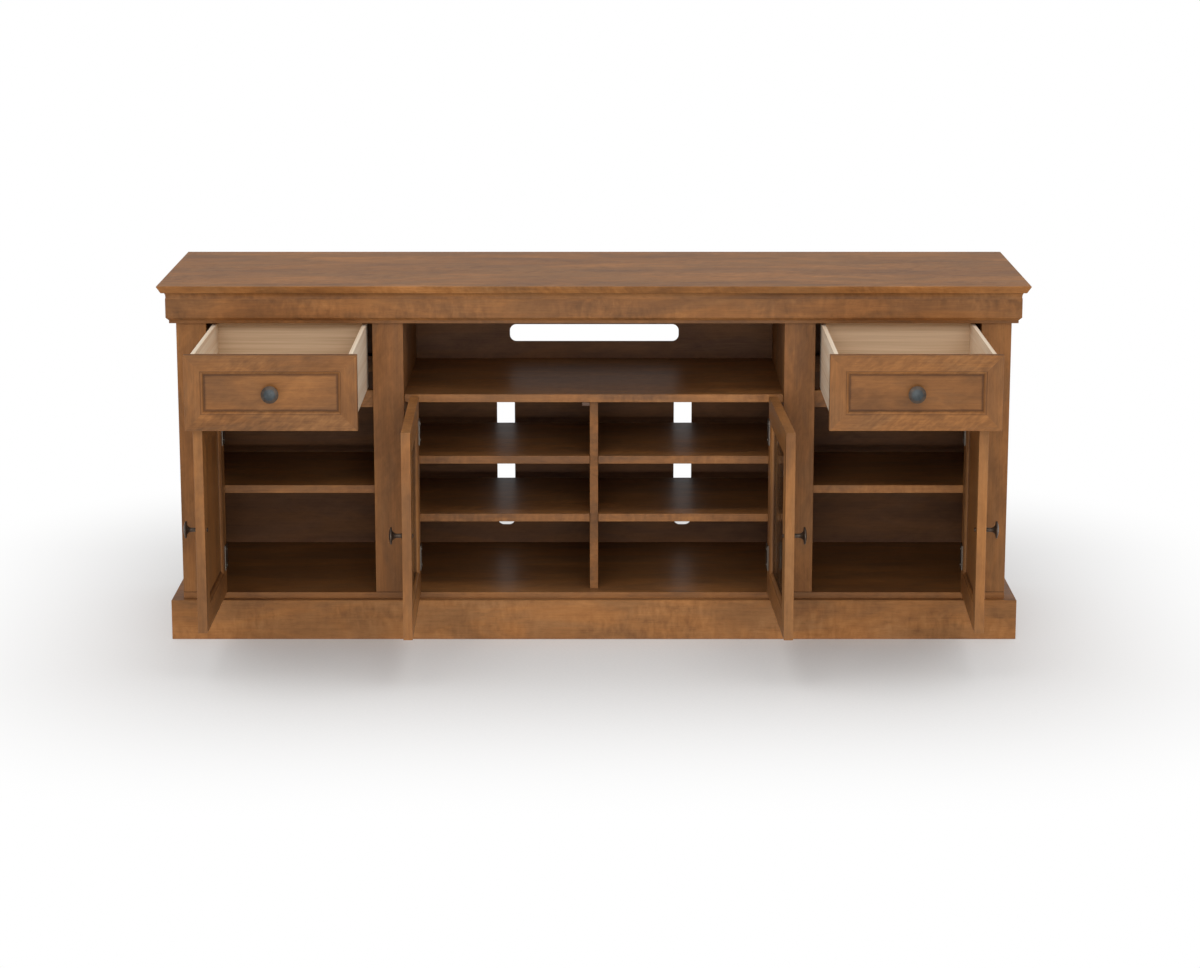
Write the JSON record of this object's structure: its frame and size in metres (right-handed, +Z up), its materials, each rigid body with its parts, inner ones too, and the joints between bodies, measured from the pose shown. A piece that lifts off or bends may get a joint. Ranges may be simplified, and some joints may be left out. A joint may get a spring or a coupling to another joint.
{
  "type": "tv unit",
  "caption": "Low wide wooden tv unit: moulded top, open niche with a cable slot, glazed centre doors, framed side doors and drawers on slides, and a plinth.",
  "frame": {"origin": "on the floor, in the middle of the plinth's footprint", "axes": "+X along the unit to the right of someone who faces it, +Y from the front to the back, +Z up"},
  "size_m": [1.728, 0.854, 0.7235],
  "materials": {
    "stained_wood": "satin",
    "back_sheet": "matte",
    "pale_wood": "matte",
    "clear_glass": "polished",
    "bright_steel": "satin",
    "catch_metal": "matte",
    "dark_metal": "satin"
  },
  "bodies": {
    "cabinet": {"back_panel": "back_sheet", "bottom_panel": "stained_wood", "centre_divider": "stained_wood", "cove_moulding": "stained_wood", "door_catches": "catch_metal", "drawer_rails": "stained_wood", "frieze_boards": "stained_wood", "frieze_foot_moulding": "stained_wood", "hinge_frame_leaves": "bright_steel", "hinge_pins": "bright_steel", "inner_stiles": "stained_wood", "media_shelves": "stained_wood", "niche_shelf": "stained_wood", "outer_stiles": "stained_wood", "partitions": "stained_wood", "plinth_boards": "stained_wood", "plinth_brace": "stained_wood", "shelf_pins": "bright_steel", "side_panels": "stained_wood", "side_shelves": "stained_wood", "slide_channels": "bright_steel", "top_rail": "stained_wood", "top_slab": "stained_wood"},
    "door_left_centre": {"door_left_centre_glass": "clear_glass", "door_left_centre_hinge_leaves": "bright_steel", "door_left_centre_knob": "dark_metal", "door_left_centre_rails": "stained_wood", "door_left_centre_stiles": "stained_wood"},
    "door_left_outer": {"door_left_outer_hinge_leaves": "bright_steel", "door_left_outer_knob": "dark_metal", "door_left_outer_panel": "stained_wood", "door_left_outer_rails": "stained_wood", "door_left_outer_stiles": "stained_wood"},
    "door_right_centre": {"door_right_centre_glass": "clear_glass", "door_right_centre_hinge_leaves": "bright_steel", "door_right_centre_knob": "dark_metal", "door_right_centre_rails": "stained_wood", "door_right_centre_stiles": "stained_wood"},
    "door_right_outer": {"door_right_outer_hinge_leaves": "bright_steel", "door_right_outer_knob": "dark_metal", "door_right_outer_panel": "stained_wood", "door_right_outer_rails": "stained_wood", "door_right_outer_stiles": "stained_wood"},
    "drawer_left": {"drawer_left_box_ends": "pale_wood", "drawer_left_box_floor": "pale_wood", "drawer_left_box_sides": "pale_wood", "drawer_left_front_frame": "stained_wood", "drawer_left_front_panel": "stained_wood", "drawer_left_knob": "dark_metal", "drawer_left_slide_bar": "bright_steel"},
    "drawer_right": {"drawer_right_box_ends": "pale_wood", "drawer_right_box_floor": "pale_wood", "drawer_right_box_sides": "pale_wood", "drawer_right_front_frame": "stained_wood", "drawer_right_front_panel": "stained_wood", "drawer_right_knob": "dark_metal", "drawer_right_slide_bar": "bright_steel"},
    "slide_middle_left": {"slide_middle_left": "bright_steel"},
    "slide_middle_right": {"slide_middle_right": "bright_steel"}
  },
  "joints": [
    {"name": "door_left_outer_hinge", "type": "hinge", "parent": "cabinet", "child": "door_left_outer", "pos_m": [-0.7676, -0.224, 0.3005], "axis": [0, 0, -1], "range_deg": [-90, 20]},
    {"name": "door_left_centre_hinge", "type": "hinge", "parent": "cabinet", "child": "door_left_centre", "pos_m": [-0.3758, -0.224, 0.3005], "axis": [0, 0, -1], "range_deg": [-89.2, 20.8]},
    {"name": "door_right_centre_hinge", "type": "hinge", "parent": "cabinet", "child": "door_right_centre", "pos_m": [0.3758, -0.224, 0.3005], "axis": [0, 0, 1], "range_deg": [-91.9, 18.1]},
    {"name": "door_right_outer_hinge", "type": "hinge", "parent": "cabinet", "child": "door_right_outer", "pos_m": [0.7676, -0.224, 0.3005], "axis": [0, 0, 1], "range_deg": [-88.2, 21.8]},
    {"name": "drawer_left_slide", "type": "slide", "parent": "cabinet", "child": "drawer_left", "axis": [0, -1, 0], "range_m": [-0.372, 0]},
    {"name": "slide_middle_left_slide", "type": "slide", "parent": "cabinet", "child": "slide_middle_left", "axis": [0, -1, 0], "range_m": [-0.186, 0]},
    {"name": "drawer_right_slide", "type": "slide", "parent": "cabinet", "child": "drawer_right", "axis": [0, -1, 0], "range_m": [-0.372, 0]},
    {"name": "slide_middle_right_slide", "type": "slide", "parent": "cabinet", "child": "slide_middle_right", "axis": [0, -1, 0], "range_m": [-0.186, 0]}
  ],
  "couplings": [
    {"joint": "slide_middle_left_slide", "follows": "drawer_left_slide", "ratio": 0.5},
    {"joint": "slide_middle_right_slide", "follows": "drawer_right_slide", "ratio": 0.5}
  ]
}
